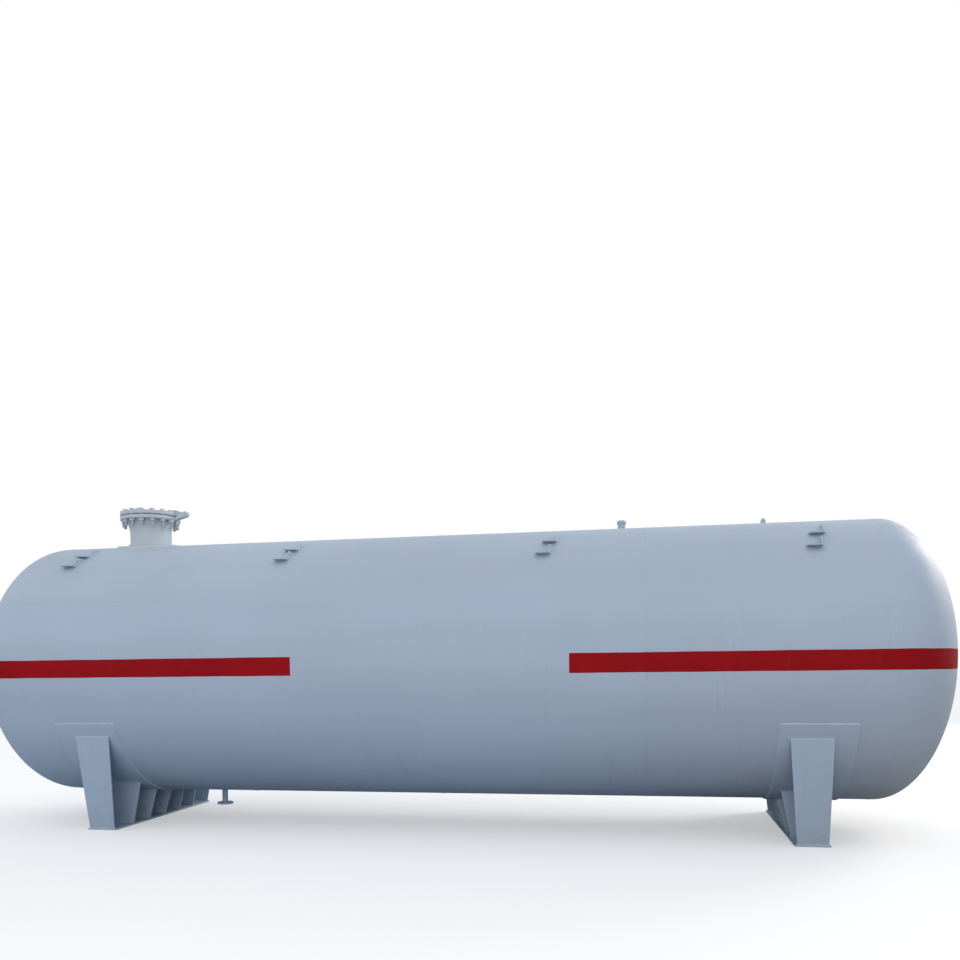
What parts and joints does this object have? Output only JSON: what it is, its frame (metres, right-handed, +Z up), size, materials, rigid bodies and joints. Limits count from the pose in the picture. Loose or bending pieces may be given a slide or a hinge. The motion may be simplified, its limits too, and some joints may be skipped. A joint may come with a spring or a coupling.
{
  "type": "horizontal pressure tank",
  "caption": "Horizontal cylindrical pressure tank with ellipsoidal ends on two welded saddles, with a bolted manway on top, pipe cleats and a flanged bottom drain.",
  "frame": {"origin": "on the ground under the middle of the tank, at the bottom centre of its box", "axes": "+X along the tank away from the manway end, +Y to the back, +Z up"},
  "size_m": [9.572, 2.632, 3.368],
  "materials": {
    "shell_paint": "pale blue-grey semi-gloss paint on steel plate, slightly chalked",
    "saddle_paint": "pale blue-grey semi-gloss paint on steel plate, dusty near the ground",
    "band_paint": "red semi-gloss band paint",
    "gasket": "dark compressed sheet gasket",
    "bare_steel": "weathered plated steel"
  },
  "bodies": {
    "root": {"shell_course_1": "shell_paint", "shell_course_2": "shell_paint", "shell_course_3": "shell_paint", "shell_course_4": "shell_paint", "head_left": "shell_paint", "head_right": "shell_paint", "saddle_left_pad": "saddle_paint", "saddle_left_web": "saddle_paint", "saddle_left_base": "saddle_paint", "saddle_left_end_rib_near": "saddle_paint", "saddle_left_end_rib_far": "saddle_paint", "saddle_left_rib_1": "saddle_paint", "saddle_left_rib_2": "saddle_paint", "saddle_left_rib_3": "saddle_paint", "saddle_left_rib_4": "saddle_paint", "saddle_left_rib_5": "saddle_paint", "saddle_right_pad": "saddle_paint", "saddle_right_web": "saddle_paint", "saddle_right_base": "saddle_paint", "saddle_right_end_rib_near": "saddle_paint", "saddle_right_end_rib_far": "saddle_paint", "saddle_right_rib_1": "saddle_paint", "saddle_right_rib_2": "saddle_paint", "saddle_right_rib_3": "saddle_paint", "saddle_right_rib_4": "saddle_paint", "saddle_right_rib_5": "saddle_paint", "manway_pad": "shell_paint", "manway_neck": "shell_paint", "manway_flange": "shell_paint", "manway_cover": "shell_paint", "manway_handle": "shell_paint", "manway_gasket": "gasket", "manway_hinge_ears": "shell_paint", "manway_hinge_arm": "shell_paint", "manway_hinge_pin": "bare_steel", "cleats_near_1": "shell_paint", "cleats_far_1": "shell_paint", "cleats_near_2": "shell_paint", "cleats_far_2": "shell_paint", "cleats_near_3": "shell_paint", "cleats_far_3": "shell_paint", "cleats_near_4": "shell_paint", "cleats_far_4": "shell_paint", "drain_neck": "shell_paint", "drain_flange": "shell_paint", "vent_coupling": "shell_paint", "vent_cap": "shell_paint", "gauge_coupling": "shell_paint", "gauge_plug": "bare_steel"}
  },
  "joints": []
}
